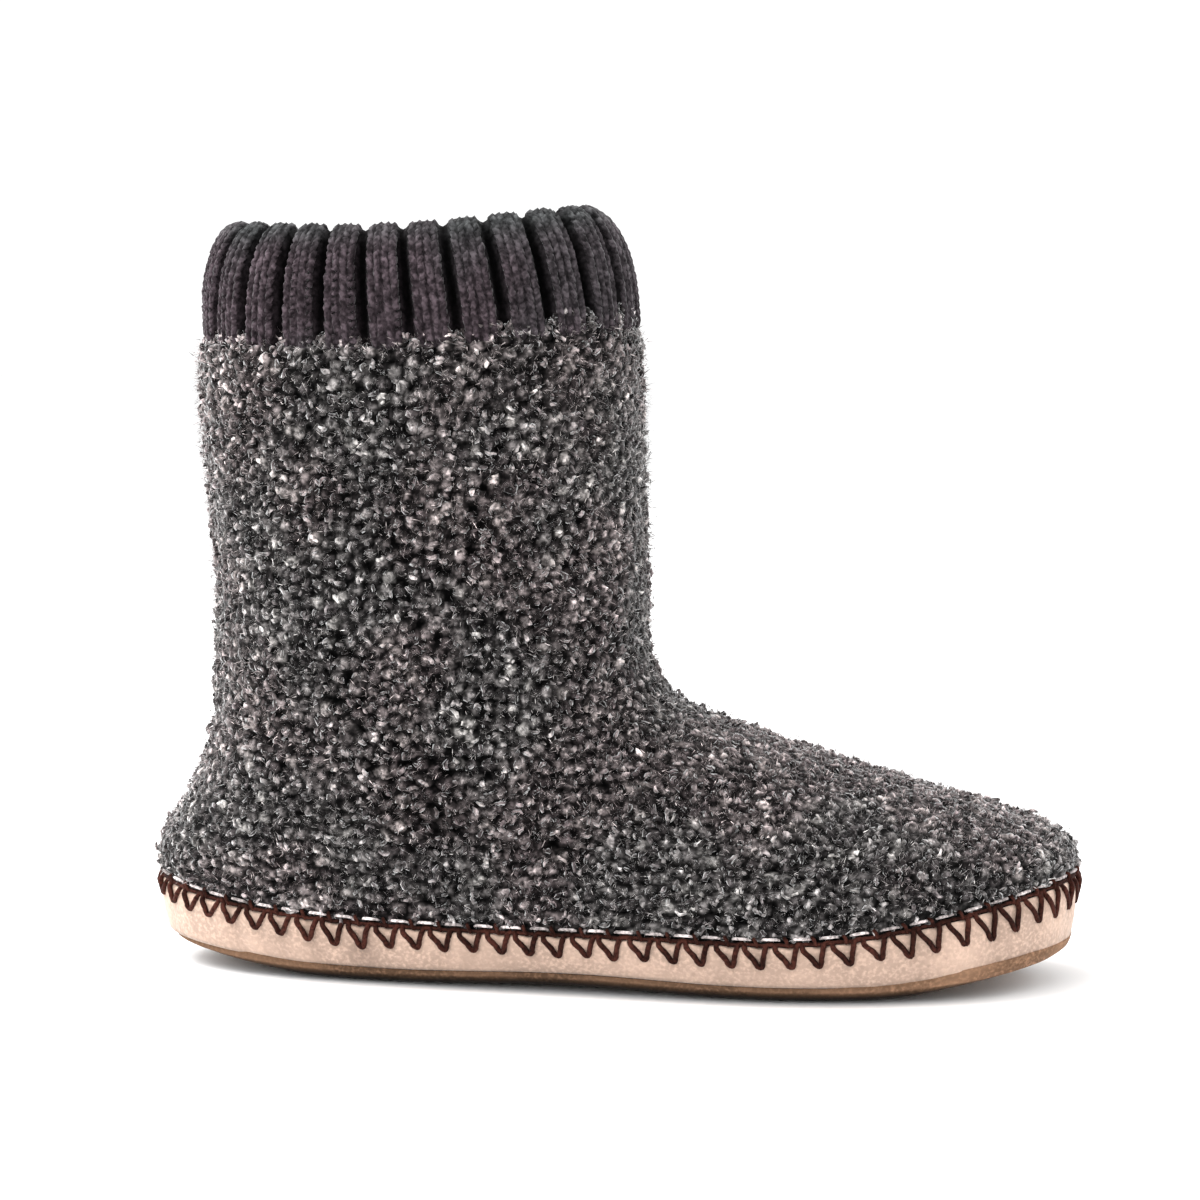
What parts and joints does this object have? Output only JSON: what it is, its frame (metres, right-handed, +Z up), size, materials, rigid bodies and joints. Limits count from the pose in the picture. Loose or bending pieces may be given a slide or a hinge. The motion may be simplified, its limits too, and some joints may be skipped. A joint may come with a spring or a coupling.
{
  "type": "boot slipper",
  "caption": "Ankle-high knitted boot slipper for the right foot: hollow boucle upper, folded rib cuff, suede band and thin flat sole.",
  "frame": {"origin": "on the floor, under the middle of the shoe's length and width", "axes": "+X towards the toe, +Y towards the medial (inner) side, +Z up; the lateral (outer) side faces -Y"},
  "size_m": [0.2794, 0.0985, 0.2268],
  "materials": {
    "outsole_suede": "tan split suede with a darker cut edge",
    "band_suede": "pale peach-tan suede, brushed nap",
    "footbed_cloth": "dark brushed fleece",
    "boucle_knit": "heathered charcoal and off-white boucle loops",
    "rib_knit": "dark charcoal rib knit, slightly fuzzy",
    "stitch_thread": "waxed dark brown whip-stitch thread",
    "running_thread": "off-white cotton thread"
  },
  "bodies": {
    "root": {"outsole": "outsole_suede", "sidewall": "band_suede", "insole": "footbed_cloth", "upper": "boucle_knit", "cuff": "rib_knit"}
  },
  "joints": []
}
